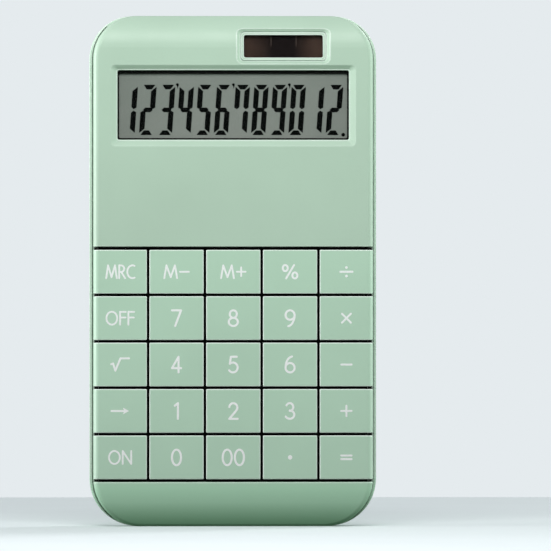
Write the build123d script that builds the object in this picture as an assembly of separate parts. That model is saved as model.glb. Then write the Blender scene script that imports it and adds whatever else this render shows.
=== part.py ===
from build123d import *
import os

# Twelve-digit desk calculator with a full-width keypad, solar cell and button cell.  Millimetres.
# +Z points at the display end, -Y out of the face with the keys, +X to the user's right.
# The origin is under the middle of the lower end, so that the calculator stands on z = 0.

# ---- overall size ----------------------------------------------------------------------
WIDTH = 90.0                # rear case, side to side
LENGTH = 160.0
THICKNESS = 15.0            # key tops to the tips of the rubber feet
COVER_WIDTH = 87.6          # the front cover stands a little inside the rear case
TOP_CORNER = 13.5           # corner radii of the outline
BOTTOM_CORNER = 15.0
EDGE_ROUND = 1.7            # rounding along the whole front edge of the cover
TOP_ROLL = 10.0             # length over which the display end rolls back
TOP_ROLL_DEPTH = 5.0
BOTTOM_ROLL = 13.5
BOTTOM_ROLL_DEPTH = 4.0
WALL = 1.6

# ---- depths, from the face to the back ---------------------------------------------------
FACE_Y = -THICKNESS / 2
FOOT_HEIGHT = 0.8
BACK_Y = THICKNESS / 2 - FOOT_HEIGHT
FLOOR_Y = BACK_Y - 1.5      # inside of the rear case
PART_Y = 1.2                # joint between cover and rear case
RIM_Y = -0.3                # rim of the rear case, beside the cover
RIM_GAP = 0.45              # dark groove between the rim and the cover
RIM_END = 3.0               # the rim stops this far from either end, where it has thinned out
SKIRT_Y = FACE_Y + 2.9      # lower edge of the key caps
KEY_TRAVEL = 1.0
GUIDE_Y = SKIRT_Y + KEY_TRAVEL + 0.25
GUIDE_BACK_Y = GUIDE_Y + 1.0
PLUNGER_Y = -1.5            # end of a key's plunger, just off its rubber dome
RUBBER_Y = 0.4
BOARD_Y = 1.4
BOARD_BACK_Y = 2.6

# ---- keypad ------------------------------------------------------------------------------
KEY_PITCH_X = 17.78
KEY_PITCH_Z = 14.53
KEY_GAP = 0.8
BOTTOM_ROW_Z = 21.65        # middle of the lowest row of keys
FIELD_BOTTOM = 13.93        # the cover is open between these two heights
FIELD_TOP = 87.6
KEY_EDGE = 0.3
KEY_SKIN = 1.5
KEY_SIDE = 1.1
STRIP_THICK = 1.2           # soft foam strips on the cover's ledges, under the outer keys
STRIP_EDGE = 43.5
KEY_NAMES = [
    ["key_on", "key_0", "key_00", "key_point", "key_equals"],
    ["key_backspace", "key_1", "key_2", "key_3", "key_plus"],
    ["key_root", "key_4", "key_5", "key_6", "key_minus"],
    ["key_off", "key_7", "key_8", "key_9", "key_multiply"],
    ["key_mrc", "key_m_minus", "key_m_plus", "key_percent", "key_divide"],
]

# ---- display -----------------------------------------------------------------------------
DISPLAY_Z = 132.0
DISPLAY_WIDTH = 72.5
DISPLAY_HEIGHT = 21.73
DISPLAY_BEVEL_DEPTH = 1.0
DISPLAY_LAND = 0.35         # flat lip between the bevel and the opening
MOUTH_Z = 131.83            # outer edge of the bevel
MOUTH_WIDTH = 76.8
MOUTH_HEIGHT = 25.4
MASK_EDGE = 0.5             # black frame that shows inside the opening
MASK_TOP = 1.1
MOUTH_ROUND = 0.5
THROAT_ROUND = 0.25
LENS_Y = FACE_Y + WALL
LENS_THICK = 1.0
HOLDER_Y = LENS_Y + LENS_THICK
HOLDER_BACK_Y = -2.4
HOLDER_HALF_WIDTH = 39.4
HOLDER_BOTTOM = 115.6
HOLDER_TOP = 144.8
LCD_Y = HOLDER_Y + 0.6      # front of the display's layers
FILM_THICK = 0.2            # polariser and reflector
FILM_HALF_WIDTH = 36.8
FILM_BOTTOM = 120.6
FILM_TOP = 143.8
GLASS_THICK = 0.7
GLASS_BOTTOM = 117.6
GLASS_TOP = 144.2
REAR_GLASS_BOTTOM = 120.2
GLASS_HALF_WIDTH = 37.2
ZEBRA_Z = 118.6
BOARD_BOTTOM = 12.5
BOARD_TOP = 120.6
BOARD_HALF_WIDTH = 41.0

# ---- solar cell, in a plane tilted to follow the rolled end -------------------------------
SOLAR_X = 15.71
SOLAR_Z = 150.5
SOLAR_Y = FACE_Y + 0.62
SOLAR_TILT = 7.0
SOLAR_WIDTH = 24.8
SOLAR_HEIGHT = 7.2
SOLAR_RIM = 2.2             # width of the bevel and the lip together
SOLAR_BEVEL_DEPTH = 0.7
SOLAR_LIP = 1.15            # flat lip round the opening
SOLAR_GROOVE = 0.35         # fine groove between the bevel and the lip
SOLAR_GROOVE_DEPTH = 0.5

# ---- battery compartment -----------------------------------------------------------------
DOOR_BOTTOM = 124.4         # hinge line of the battery door
DOOR_TOP = 142.4
DOOR_HALF_WIDTH = 9.0
DOOR_THICK = 1.2
DOOR_GAP = 0.25
CELL_Z = 133.4
CELL_RADIUS = 5.8
CELL_THICK = 3.05
POCKET_Y = 2.0
POCKET_HALF = 7.6

# ---- fasteners ---------------------------------------------------------------------------
CASE_SCREWS = [(-35.5, 8.0), (35.5, 8.0), (-38.0, 104.0), (38.0, 104.0), (-35.5, 152.0), (35.5, 152.0)]
FRAME_SCREWS = [(-24.0, 9.8), (0.0, 9.8), (24.0, 9.8), (-24.0, 91.6), (0.0, 91.6), (24.0, 91.6)]
BOARD_SCREWS = [(-26.67, 72.5), (26.67, 72.5), (-8.89, 57.97),
                (8.89, 43.44), (-26.67, 28.92), (26.67, 28.92)]
FEET = [(-35.0, 20.0), (35.0, 20.0), (-35.0, 140.0), (35.0, 140.0)]
CASE_SCREW_HEAD = 2.1       # radii of the screws
CASE_SCREW_SHANK = 1.0
FRAME_SCREW_HEAD = 1.7
FRAME_SCREW_SHANK = 0.8
BOARD_SCREW_HEAD = 1.6
BOARD_SCREW_SHANK = 0.7


# ---- helpers -----------------------------------------------------------------------------
def block(x0, x1, y0, y1, z0, z1):
    """A box between two corners."""
    middle = Pos((x0 + x1) / 2, (y0 + y1) / 2, (z0 + z1) / 2)
    return middle * Box(x1 - x0, y1 - y0, z1 - z0)


def disc(x, z, radius, y0, y1):
    """A round bar that points along Y."""
    return Pos(x, (y0 + y1) / 2, z) * Rot(90, 0, 0) * Cylinder(radius, y1 - y0)


def slab(sketch, y0, y1):
    """A front-view sketch made solid between two depths."""
    return extrude(Plane.XZ.offset(-y0) * sketch, amount=y0 - y1)


def outline(half_width, bottom, top, bottom_radius, top_radius):
    """The calculator's rounded outline as a front-view sketch."""
    sheet = Pos(0, (bottom + top) / 2) * Rectangle(2 * half_width, top - bottom)
    sheet = fillet(sheet.vertices().sort_by(Axis.Y)[:2], bottom_radius)
    return fillet(sheet.vertices().sort_by(Axis.Y)[-2:], top_radius)


def side_profile(inset):
    """The cover seen from its side: a flat face that rolls back at both ends."""
    face = FACE_Y + inset
    low = inset
    high = LENGTH - inset
    bottom_start = (face, BOTTOM_ROLL)
    bottom_end = (face + BOTTOM_ROLL_DEPTH, low)
    top_start = (face, LENGTH - TOP_ROLL)
    top_end = (face + TOP_ROLL_DEPTH, high)
    edges = [
        TangentArc(bottom_start, bottom_end, tangent=(0, -1)),
        Line(bottom_end, (PART_Y, low)),
        Line((PART_Y, low), (PART_Y, high)),
        Line((PART_Y, high), top_end),
        TangentArc(top_start, top_end, tangent=(0, 1)),
        Line(top_start, bottom_start),
    ]
    return make_face(edges)


def cover_blank(inset):
    """Outer form of the front cover, or its inner form at a given wall thickness."""
    half = COVER_WIDTH / 2 - inset
    sheet = outline(half, inset, LENGTH - inset, BOTTOM_CORNER - inset, TOP_CORNER - inset)
    sides = extrude(Plane.YZ * side_profile(inset), amount=WIDTH, both=True)
    return slab(sheet, FACE_Y + inset, PART_Y) & sides


def rounded_cover_blank():
    """The outer form with its front edge rounded all the way round."""
    blank = cover_blank(0)
    front = []
    for edge in blank.edges():
        box = edge.bounding_box()
        across_face = box.size.Z < 0.01 and box.max.Y < FACE_Y + 0.01
        if box.max.Y < PART_Y - 0.01 and not across_face:
            front.append(edge)
    return fillet(front, EDGE_ROUND)


def solar_plane(depth):
    """Plane of the solar window at a depth below the rolled end's surface."""
    tilt = Rot(-SOLAR_TILT, 0, 0)
    return Plane(Pos(SOLAR_X, SOLAR_Y, SOLAR_Z) * tilt * Plane.XZ.location).offset(-depth)


def solar_slab(width, height, radius, near, far):
    """A rounded plate parallel to the solar window, between two depths below the surface."""
    return extrude(solar_plane(near) * RectangleRounded(width, height, radius), amount=near - far)


def screw(x, z, head_radius, head_y0, head_y1, shank_radius, tip_y):
    """A pan-head screw driven from the back, with a cross recess."""
    body = disc(x, z, head_radius, head_y0, head_y1) + disc(x, z, shank_radius, tip_y, head_y0)
    arm = head_radius * 0.62
    slot = 0.22
    recess_y = head_y1 - 0.55
    body -= block(x - arm, x + arm, recess_y, head_y1 + 1, z - slot, z + slot)
    return body - block(x - slot, x + slot, recess_y, head_y1 + 1, z - arm, z + arm)


def tube(points, radius, bend):
    """A round wire along straight runs joined by arcs."""
    path = FilletPolyline(*points, radius=bend)
    start = Plane(origin=path @ 0, z_dir=path % 0)
    return sweep(start * Circle(radius), path=path)


def key_span(column):
    """Left edge, right edge and middle of a column of keys."""
    left = (column - 2.5) * KEY_PITCH_X + KEY_GAP / 2
    right = (column - 1.5) * KEY_PITCH_X - KEY_GAP / 2
    left = max(left, -COVER_WIDTH / 2)
    right = min(right, COVER_WIDTH / 2)
    return left, right, (left + right) / 2


def key_centres():
    """Middle of every key, column by column in each row."""
    rows = range(len(KEY_NAMES))
    return [(key_span(c)[2], BOTTOM_ROW_Z + r * KEY_PITCH_Z) for r in rows for c in range(5)]


# ---- front cover -------------------------------------------------------------------------
def display_cut():
    """Bevelled display opening, cut through the face."""
    mouth = Pos(0, MOUTH_Z) * RectangleRounded(MOUTH_WIDTH, MOUTH_HEIGHT, 1.4)
    land_width = DISPLAY_WIDTH + 2 * DISPLAY_LAND
    land_height = DISPLAY_HEIGHT + 2 * DISPLAY_LAND
    throat = Pos(0, DISPLAY_Z) * RectangleRounded(land_width, land_height, 0.8)
    bevel = loft([Plane.XZ.offset(-FACE_Y) * mouth,
                  Plane.XZ.offset(-FACE_Y - DISPLAY_BEVEL_DEPTH) * throat])
    opening = Pos(0, DISPLAY_Z) * RectangleRounded(DISPLAY_WIDTH, DISPLAY_HEIGHT, 0.6)
    return bevel + slab(opening, FACE_Y + DISPLAY_BEVEL_DEPTH, LENS_Y + 1)


def solar_sheet(margin, radius, depth):
    """A rounded outline this far outside the solar opening, in a plane below the surface."""
    sheet = RectangleRounded(SOLAR_WIDTH + 2 * margin, SOLAR_HEIGHT + 2 * margin, radius)
    return solar_plane(depth) * sheet


def solar_cut():
    """Bevelled opening over the solar cell, with a fine groove and the pocket for its window."""
    rim_width = SOLAR_WIDTH + 2 * SOLAR_RIM
    rim_height = SOLAR_HEIGHT + 2 * SOLAR_RIM
    bevel = loft([solar_sheet(SOLAR_RIM, 2.0, 0), solar_sheet(SOLAR_LIP, 1.3, SOLAR_BEVEL_DEPTH)])
    cut = bevel + solar_slab(rim_width, rim_height, 2.0, -2, 0)
    ring = solar_sheet(SOLAR_LIP, 1.3, SOLAR_BEVEL_DEPTH)
    ring -= solar_sheet(SOLAR_LIP - SOLAR_GROOVE, 1.0, SOLAR_BEVEL_DEPTH)
    cut += extrude(ring, amount=-SOLAR_GROOVE_DEPTH)
    cut += solar_slab(SOLAR_WIDTH, SOLAR_HEIGHT, 0.7, SOLAR_BEVEL_DEPTH, 4)
    return cut + solar_slab(SOLAR_WIDTH + 2, SOLAR_HEIGHT + 2, 0.7, 1.7, 4)


def cover_bosses():
    """Screw bosses and inner ribs that stand in the cover's hollow."""
    ribs = block(-50, 50, FACE_Y, GUIDE_Y, FIELD_TOP, FIELD_TOP + 1.2)
    ribs += block(-50, 50, FACE_Y, GUIDE_Y, FIELD_BOTTOM - 1.2, FIELD_BOTTOM)
    for x, z in CASE_SCREWS:
        ribs += disc(x, z, 2.4, FACE_Y, PART_Y + 1)
    for x, z in FRAME_SCREWS:
        ribs += disc(x, z, 2.0, FACE_Y, GUIDE_Y)
    return ribs + solar_slab(SOLAR_WIDTH + 5, SOLAR_HEIGHT + 3.6, 1.0, 0.5, 3.0)


def edges_within(shape, low, high):
    """Edges of a shape that lie inside a box."""
    found = []
    for edge in shape.edges():
        box = edge.bounding_box()
        after = min(box.min.X - low[0], box.min.Y - low[1], box.min.Z - low[2])
        before = min(high[0] - box.max.X, high[1] - box.max.Y, high[2] - box.max.Z)
        if min(after, before) > -0.001:
            found.append(edge)
    return found


def soften_openings(cover):
    """Small roundings on the display bevel and beside the keypad field."""
    rounds = [(MOUTH_Z, MOUTH_WIDTH, MOUTH_HEIGHT, FACE_Y, MOUTH_ROUND),
              (DISPLAY_Z, DISPLAY_WIDTH, DISPLAY_HEIGHT, FACE_Y + DISPLAY_BEVEL_DEPTH, THROAT_ROUND)]
    for z, width, height, y, radius in rounds:
        low = (-width / 2, y, z - height / 2)
        high = (width / 2, y, z + height / 2)
        cover = fillet(edges_within(cover, low, high), radius)
    for z in (FIELD_TOP, FIELD_BOTTOM):
        cover = fillet(edges_within(cover, (-50, FACE_Y, z), (50, GUIDE_Y - 0.1, z)), KEY_EDGE)
    return cover


def front_cover():
    """Shell with the display and solar openings, the open keypad field and a rail down each side."""
    cover = rounded_cover_blank() - (cover_blank(WALL) - cover_bosses())
    cover -= block(-50, 50, FACE_Y - 1, GUIDE_Y, FIELD_BOTTOM, FIELD_TOP)
    cover -= display_cut()
    cover = soften_openings(cover)
    cover -= solar_cut()
    for x, z in CASE_SCREWS:
        cover -= disc(x, z, 1.05, -4.0, PART_Y)
    for x, z in FRAME_SCREWS:
        cover -= disc(x, z, 0.85, -5.2, GUIDE_Y)
    return cover


# ---- keys --------------------------------------------------------------------------------
def key(row, column, blank):
    """A hollow cap with a plunger and two snap legs behind it."""
    left, right, x = key_span(column)
    z = BOTTOM_ROW_Z + row * KEY_PITCH_Z
    half_height = (KEY_PITCH_Z - KEY_GAP) / 2
    low = z - half_height
    high = z + half_height
    cap = blank & block(left, right, FACE_Y - 1, SKIRT_Y, low, high)
    rounded = []
    for edge in cap.edges():
        box = edge.bounding_box()
        on_body_edge = box.size.Z > 1 and abs(edge.center().X) > COVER_WIDTH / 2 - EDGE_ROUND - 0.1
        if box.min.Y < SKIRT_Y - 0.01 and not on_body_edge:
            rounded.append(edge)
    cap = fillet(rounded, KEY_EDGE)
    cap -= block(left + KEY_SIDE, right - KEY_SIDE, FACE_Y + KEY_SKIN, SKIRT_Y + 1,
                 low + KEY_SIDE, high - KEY_SIDE)
    cap += disc(x, z, 1.6, FACE_Y + 1, PLUNGER_Y)
    for side in (-1, 1):
        leg = sorted([x + side * 2.0, x + side * 3.1])
        hook = sorted([x + side * 2.0, x + side * 3.7])
        cap += block(*leg, FACE_Y + 1, GUIDE_BACK_Y + 0.7, z - 1.8, z + 1.8)
        cap += block(*hook, GUIDE_BACK_Y + 0.15, GUIDE_BACK_Y + 0.7, z - 1.8, z + 1.8)
    return cap


def key_guide_frame():
    """Black plate under the keys: it guides their legs and carries the circuit board."""
    half = COVER_WIDTH / 2 - WALL - 0.15
    plate = block(-half, half, GUIDE_Y, GUIDE_BACK_Y, FIELD_BOTTOM + 0.15, FIELD_TOP - 0.15)
    for x, z in FRAME_SCREWS:
        plate += block(x - 3, x + 3, GUIDE_Y, GUIDE_BACK_Y, min(z - 3, 80), max(z + 3, 20))
    for x, z in BOARD_SCREWS:
        plate += disc(x, z, 1.8, GUIDE_Y, BOARD_Y)
        plate -= disc(x, z, 0.75, GUIDE_BACK_Y, BOARD_Y)
    for x, z in FRAME_SCREWS:
        plate -= disc(x, z, 0.95, GUIDE_Y - 1, GUIDE_BACK_Y + 1)
    for x, z in key_centres():
        plate -= block(x - 3.35, x + 3.35, GUIDE_Y - 1, GUIDE_BACK_Y + 1, z - 2.1, z + 2.1)
    return plate


def ledge_strips():
    """Black foam strips that close the gap between the outer keys and the cover's ledges."""
    strips = []
    for side in (-1, 1):
        ends = sorted([side * (COVER_WIDTH / 2 - WALL + 0.05), side * STRIP_EDGE])
        strips.append(block(*ends, GUIDE_Y - STRIP_THICK, GUIDE_Y, FIELD_BOTTOM + 0.15, FIELD_TOP - 0.15))
    return strips


def rubber_keypad():
    """Sheet of silicone rubber with a hollow dome under every key."""
    sheet = block(-40.5, 40.5, RUBBER_Y, BOARD_Y, 15, 87)
    for x, z in key_centres():
        dome = Pos(x, (RUBBER_Y - 1.4) / 2, z) * Rot(90, 0, 0) * Cone(4.4, 2.6, RUBBER_Y + 1.4)
        hollow = Pos(x, (BOARD_Y - 0.6) / 2, z) * Rot(90, 0, 0) * Cone(4.2, 2.2, BOARD_Y + 0.6)
        sheet += dome
        sheet -= hollow
    for x, z in BOARD_SCREWS:
        sheet -= disc(x, z, 2.1, RUBBER_Y - 1, BOARD_Y + 1)
    return sheet


def carbon_contacts():
    """Conductive pills that close the circuit, one inside each dome."""
    return [disc(x, z, 1.5, -0.4, 0.0) for x, z in key_centres()]


# ---- circuit board -----------------------------------------------------------------------
def main_circuit_board():
    """Board from the lowest row of keys up to the display's contact edge."""
    sheet = block(-BOARD_HALF_WIDTH, BOARD_HALF_WIDTH, BOARD_Y, BOARD_BACK_Y, BOARD_BOTTOM, BOARD_TOP)
    for x, z in CASE_SCREWS:
        sheet -= disc(x, z, 3.8, BOARD_Y - 1, BOARD_BACK_Y + 1)
    for x, z in BOARD_SCREWS:
        sheet -= disc(x, z, 0.85, BOARD_Y - 1, BOARD_BACK_Y + 1)
    return sheet


def chip_blob():
    """Drop of black epoxy over the calculator chip, on the back of the board."""
    drop = disc(0, 104, 6.0, BOARD_BACK_Y, BOARD_BACK_Y + 1.3)
    return fillet(drop.edges().group_by(Axis.Y)[-1], 1.2)


def chip_parts(size_x, size_y, size_z, places):
    """Small surface-mounted parts on the back of the board."""
    parts = []
    for x, z in places:
        parts.append(block(x - size_x / 2, x + size_x / 2, BOARD_BACK_Y, BOARD_BACK_Y + size_y,
                           z - size_z / 2, z + size_z / 2))
    return parts


# ---- display stack -----------------------------------------------------------------------
def lcd_window():
    """Clear lens behind the bevelled opening."""
    shape = Pos(0, DISPLAY_Z) * RectangleRounded(75.4, 24.4, 1.0)
    return slab(shape, LENS_Y, HOLDER_Y)


def lcd_holder():
    """Black frame that masks the edge of the glass and guides the contact strip."""
    half = HOLDER_HALF_WIDTH
    frame = block(-half, half, HOLDER_Y, HOLDER_BACK_Y, HOLDER_BOTTOM, HOLDER_TOP)
    frame += block(-half, half, HOLDER_BACK_Y, BOARD_Y, HOLDER_BOTTOM, BOARD_TOP)
    frame -= block(-GLASS_HALF_WIDTH - 0.1, GLASS_HALF_WIDTH + 0.1, LCD_Y, HOLDER_BACK_Y,
                   GLASS_BOTTOM - 0.1, GLASS_TOP + 0.1)
    aperture_width = DISPLAY_WIDTH - 2 * MASK_EDGE
    aperture_height = DISPLAY_HEIGHT - MASK_EDGE - MASK_TOP
    aperture_z = DISPLAY_Z + (MASK_EDGE - MASK_TOP) / 2
    aperture = Pos(0, aperture_z) * RectangleRounded(aperture_width, aperture_height, 0.5)
    frame -= slab(aperture, HOLDER_Y - 1, HOLDER_Y + 1)
    return frame - block(-34.2, 34.2, -3, BOARD_Y + 1, ZEBRA_Z - 0.9, ZEBRA_Z + 0.9)


def display_layers():
    """The display's films and glass, stacked from the front to the back."""
    film = (FILM_HALF_WIDTH, FILM_THICK, FILM_BOTTOM, FILM_TOP)
    layers = [("lcd_front_polarizer", film),
              ("lcd_front_glass", (GLASS_HALF_WIDTH, GLASS_THICK, GLASS_BOTTOM, GLASS_TOP)),
              ("lcd_rear_glass", (GLASS_HALF_WIDTH, GLASS_THICK, REAR_GLASS_BOTTOM, GLASS_TOP)),
              ("lcd_reflector", film)]
    parts = {}
    y = LCD_Y
    for name, (half_width, thick, low, high) in layers:
        parts[name] = block(-half_width, half_width, y, y + thick, low, high)
        y += thick
    return parts


def zebra_strip():
    """Elastomer strip that joins the glass to the board."""
    return block(-34.0, 34.0, -3.4, BOARD_Y, ZEBRA_Z - 0.8, ZEBRA_Z + 0.8)


# ---- solar cell --------------------------------------------------------------------------
def solar_leads():
    """The two wires from the solar cell to the board."""
    leads = {}
    ends = [("solar_lead_negative", 12.6, 15.0), ("solar_lead_positive", 25.0, 22.0)]
    for name, x_cell, x_board in ends:
        points = [(x_cell, -3.05, 150.6), (x_cell, 0.2, 150.9), (x_cell, 3.9, 142.0),
                  (x_board, 4.0, 124.0), (x_board, 3.9, 116.0), (x_board, BOARD_BACK_Y, 116.0)]
        leads[name] = tube(points, 0.35, 0.7)
    return leads


# ---- rear case ---------------------------------------------------------------------------
def battery_box():
    """Walls of the battery compartment and the pockets for the door's tongues and latch."""
    box = block(-10.4, 10.4, 1.0, BACK_Y, DOOR_BOTTOM - 1.5, DOOR_TOP + 1.0)
    box += block(-8.6, 8.6, 3.1, BACK_Y, DOOR_BOTTOM - 2.9, DOOR_BOTTOM)
    return box + block(-5.5, 5.5, 3.6, BACK_Y, DOOR_TOP, DOOR_TOP + 4.0)


def battery_cuts():
    """Seat of the door, battery pocket, tongue slots, latch notch and contact slots."""
    seat = block(-DOOR_HALF_WIDTH - DOOR_GAP, DOOR_HALF_WIDTH + DOOR_GAP, BACK_Y - DOOR_THICK, BACK_Y + 1,
                 DOOR_BOTTOM - DOOR_GAP, DOOR_TOP + DOOR_GAP)
    seat += block(-POCKET_HALF, POCKET_HALF, POCKET_Y, BACK_Y, CELL_Z - POCKET_HALF, CELL_Z + POCKET_HALF)
    for side in (-1, 1):
        ends = sorted([side * 3.7, side * 7.3])
        seat += block(*ends, 3.9, BACK_Y - DOOR_THICK, DOOR_BOTTOM - 1.9, DOOR_BOTTOM + 2)
    seat += block(-4.5, 4.5, 4.5, BACK_Y + 1, DOOR_TOP, DOOR_TOP + 3.0)
    seat += block(-1.3, 1.3, 0, POCKET_Y, 129.1, 129.7)
    return seat + block(5.7, 6.3, 0, POCKET_Y, CELL_Z - 1.3, CELL_Z + 1.3)


def rear_case():
    """Tray that closes the back, wider than the cover by a rim down each long side."""
    half = WIDTH / 2
    case = slab(outline(half, 0, LENGTH, BOTTOM_CORNER, TOP_CORNER), RIM_Y, BACK_Y)
    case = fillet(case.edges().group_by(Axis.Y)[-1], 1.8)
    case = fillet(case.edges().group_by(Axis.Y)[0], 0.35)
    recess = outline(COVER_WIDTH / 2 + RIM_GAP, -RIM_GAP, LENGTH + RIM_GAP,
                     BOTTOM_CORNER + RIM_GAP, TOP_CORNER + RIM_GAP)
    case -= slab(recess, RIM_Y - 1, PART_Y)
    case -= block(-50, 50, RIM_Y - 1, PART_Y, LENGTH - RIM_END, LENGTH + 1)
    case -= block(-50, 50, RIM_Y - 1, PART_Y, -1, RIM_END)
    tray = outline(half - WALL - 0.4, 2.0, LENGTH - 2.0, BOTTOM_CORNER - 2.0, TOP_CORNER - 2.0)
    case -= slab(tray, PART_Y - 1, FLOOR_Y)
    for x, z in CASE_SCREWS:
        case += disc(x, z, 3.3, PART_Y, FLOOR_Y + 0.5)
        case -= disc(x, z, 1.15, PART_Y - 1, BACK_Y + 1)
        case -= disc(x, z, 2.3, BACK_Y - 2.2, BACK_Y + 1)
    for z in (BOTTOM_ROW_Z + KEY_PITCH_Z, BOTTOM_ROW_Z + 3 * KEY_PITCH_Z):
        case += block(-38, 38, BOARD_BACK_Y + 0.15, FLOOR_Y + 0.5, z - 0.6, z + 0.6)
    for x in (-KEY_PITCH_X, KEY_PITCH_X):
        case += block(x - 0.6, x + 0.6, BOARD_BACK_Y + 0.15, FLOOR_Y + 0.5, 16, 96)
    case = case + battery_box() - battery_cuts()
    for x, z in FEET:
        case -= disc(x, z, 4.1, BACK_Y - 0.5, BACK_Y + 1)
    return case


def foot(x, z):
    """Round rubber foot in its recess."""
    pad = disc(x, z, 4.0, BACK_Y - 0.5, BACK_Y + FOOT_HEIGHT)
    return fillet(pad.edges().group_by(Axis.Y)[-1], 0.4)


# ---- battery parts -----------------------------------------------------------------------
def battery_door():
    """Door with two tongues at its hinge end, a finger latch at the other and grip ribs."""
    inner_y = BACK_Y - DOOR_THICK
    door = block(-DOOR_HALF_WIDTH, DOOR_HALF_WIDTH, inner_y, BACK_Y, DOOR_BOTTOM, DOOR_TOP)
    door = fillet(door.edges().group_by(Axis.Y)[-1], 0.25)
    for side in (-1, 1):
        ends = sorted([side * 4.0, side * 7.0])
        door += block(*ends, inner_y - 0.8, inner_y, DOOR_BOTTOM, DOOR_BOTTOM + 1.2)
        door += block(*ends, inner_y - 0.8, inner_y - 0.2, DOOR_BOTTOM - 1.6, DOOR_BOTTOM + 1.2)
    door += block(-3.2, 3.2, inner_y + 0.2, BACK_Y - 0.3, DOOR_TOP - 1, DOOR_TOP + 2.2)
    door += block(-3.2, 3.2, inner_y - 0.6, inner_y + 0.4, DOOR_TOP + 1.2, DOOR_TOP + 2.7)
    for step in range(5):
        z = DOOR_TOP - 6.4 + step * 1.2
        door -= block(-5.0, 5.0, BACK_Y - 0.35, BACK_Y + 1, z, z + 0.6)
    return door


def button_cell():
    """Button cell, its smaller cap towards the pocket's floor."""
    low = POCKET_Y + 0.35
    can = disc(0, CELL_Z, CELL_RADIUS, low + 0.4, low + CELL_THICK)
    can = fillet(can.edges().group_by(Axis.Y)[-1], 0.4)
    return can + disc(0, CELL_Z, CELL_RADIUS - 1.2, low, low + 0.4)


def battery_contact_negative():
    """Flat contact on the pocket's floor, with its tab through the floor."""
    plate = block(-3, 3, POCKET_Y, POCKET_Y + 0.2, 129.3, 137)
    plate += disc(0, CELL_Z, 1.2, POCKET_Y + 0.1, POCKET_Y + 0.35)
    return plate + block(-1, 1, 0.4, POCKET_Y + 0.1, 129.3, 129.5)


def battery_contact_positive():
    """Upright contact against the can of the cell, with its tab through the floor."""
    plate = block(CELL_RADIUS + 0.05, CELL_RADIUS + 0.25, POCKET_Y, 5.2, CELL_Z - 3.5, CELL_Z + 3.5)
    return plate + block(CELL_RADIUS + 0.05, CELL_RADIUS + 0.25, 0.4, POCKET_Y, CELL_Z - 1, CELL_Z + 1)


def battery_leads():
    """The two wires from the battery contacts to the board."""
    leads = {}
    starts = {"battery_lead_negative": (0, 129.4, -12.0), "battery_lead_positive": (5.95, CELL_Z, 12.0)}
    for name, (x, z, x_board) in starts.items():
        points = [(x, 0.4, z), (x, -0.9, z - 0.6), (x_board, -0.6, 124.0), (x_board, 1.6, 121.7),
                  (x_board, 3.9, 121.3), (x_board, 3.9, 116.0), (x_board, BOARD_BACK_Y, 116.0)]
        leads[name] = tube(points, 0.35, 0.55)
    return leads


# ---- the whole calculator ----------------------------------------------------------------
def all_parts():
    """Every sub-part, by node name."""
    parts = {
        "front_cover": front_cover(),
        "rear_case": rear_case(),
        "key_guide_frame": key_guide_frame(),
        "ledge_strips": ledge_strips(),
        "rubber_keypad": rubber_keypad(),
        "carbon_contacts": carbon_contacts(),
        "main_circuit_board": main_circuit_board(),
        "chip_blob": chip_blob(),
        "chip_capacitors": chip_parts(2.0, 0.9, 1.2, [(-14, 108), (-14, 104), (11, 110), (28, 100)]),
        "chip_resistors": chip_parts(1.6, 0.5, 0.8, [(-14, 100), (11, 106), (11, 103), (-24, 112)]),
        "limiter_diodes": chip_parts(2.8, 1.1, 1.4, [(28, 110), (28, 106)]),
        "lcd_window": lcd_window(),
        "lcd_holder": lcd_holder(),
        "zebra_strip": zebra_strip(),
        "solar_window": solar_slab(SOLAR_WIDTH + 1.8, SOLAR_HEIGHT + 1.8, 0.6, 1.7, 2.5),
        "solar_cell": solar_slab(SOLAR_WIDTH + 1.6, SOLAR_HEIGHT + 1.6, 0.3, 2.6, 3.7),
        "battery_door": battery_door(),
        "button_cell": button_cell(),
        "battery_contact_negative": battery_contact_negative(),
        "battery_contact_positive": battery_contact_positive(),
        "case_screws": [screw(x, z, CASE_SCREW_HEAD, BACK_Y - 2.2, BACK_Y - 0.9, CASE_SCREW_SHANK, -3.6)
                        for x, z in CASE_SCREWS],
        "frame_screws": [screw(x, z, FRAME_SCREW_HEAD, GUIDE_BACK_Y, GUIDE_BACK_Y + 0.8,
                               FRAME_SCREW_SHANK, -5.0) for x, z in FRAME_SCREWS],
        "board_screws": [screw(x, z, BOARD_SCREW_HEAD, BOARD_BACK_Y, BOARD_BACK_Y + 0.9,
                               BOARD_SCREW_SHANK, -1.0) for x, z in BOARD_SCREWS],
        "rubber_feet": [foot(x, z) for x, z in FEET],
    }
    parts.update(display_layers())
    parts.update(solar_leads())
    parts.update(battery_leads())
    blank = rounded_cover_blank()
    for row, names in enumerate(KEY_NAMES):
        for column, name in enumerate(names):
            parts[name] = key(row, column, blank)
    return parts


os.makedirs("parts", exist_ok=True)
for node, shape in all_parts().items():
    solids = shape if isinstance(shape, list) else shape.solids()
    export_step(Compound(children=list(solids)), f"parts/{node}.step")
    print(node, len(solids), round(sum(solid.volume for solid in solids), 1))
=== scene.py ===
import math

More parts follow.
